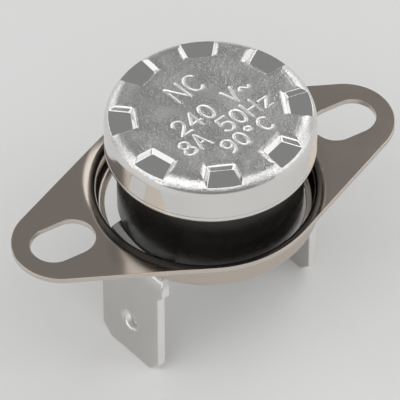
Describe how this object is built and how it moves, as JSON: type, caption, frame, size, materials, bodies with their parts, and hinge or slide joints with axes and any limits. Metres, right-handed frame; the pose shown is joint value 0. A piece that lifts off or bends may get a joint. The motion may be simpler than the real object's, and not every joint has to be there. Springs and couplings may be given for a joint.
{
  "type": "bimetal thermostat",
  "caption": "Snap-disc bimetal thermostat: a notched aluminium sensing cap crimped to a round moulded body, with a loose flanged bracket and folded blade terminals.",
  "frame": {"origin": "on the axis of the round body, in the plane of the blade ends", "axes": "+Z along the axis towards the sensing cap, +X along the bracket through its screw slots"},
  "size_m": [0.0321, 0.018, 0.0207],
  "materials": {
    "cap": "satin",
    "phenolic": "gloss",
    "guide": "satin",
    "disc": "satin",
    "pin": "matte",
    "spring": "satin",
    "strip": "satin",
    "contact": "polished",
    "blade": "polished",
    "rivet": "polished",
    "bracket": "polished"
  },
  "bodies": {
    "switch": {"sensing_cap": "cap", "bimetal_disc": "disc", "guide_plate": "guide", "switch_body": "phenolic", "fixed_contact": "contact", "contact_strip": "strip", "arm_terminal": "blade", "strip_terminal": "blade", "arm_rivet": "rivet", "strip_rivet": "rivet"},
    "pin": {"transfer_pin": "pin"},
    "arm": {"contact_arm": "spring", "moving_contact": "contact"},
    "bracket": {"mounting_bracket": "bracket"}
  },
  "joints": [
    {"name": "bracket_lift", "type": "slide", "parent": "switch", "child": "bracket", "axis": [0.0808, 0, 0.9967], "range_m": [0, 0.00557]},
    {"name": "pin_push", "type": "slide", "parent": "switch", "child": "pin", "axis": [0, 0, -1], "range_m": [0, 0.0003], "stiffness_N_per_m": 200, "springref_m": -0.0005, "deforming": ["bimetal_disc"]},
    {"name": "arm_flex", "type": "hinge", "parent": "switch", "child": "arm", "pos_m": [-0.00169, -0.00033, 0.01481], "axis": [-0.1908, 0.9816, 0], "range_deg": [0, 10.4], "deforming": ["contact_arm"]}
  ],
  "couplings": [
    {"joint": "arm_flex", "follows": "pin_push", "rad_per_m": 604}
  ]
}
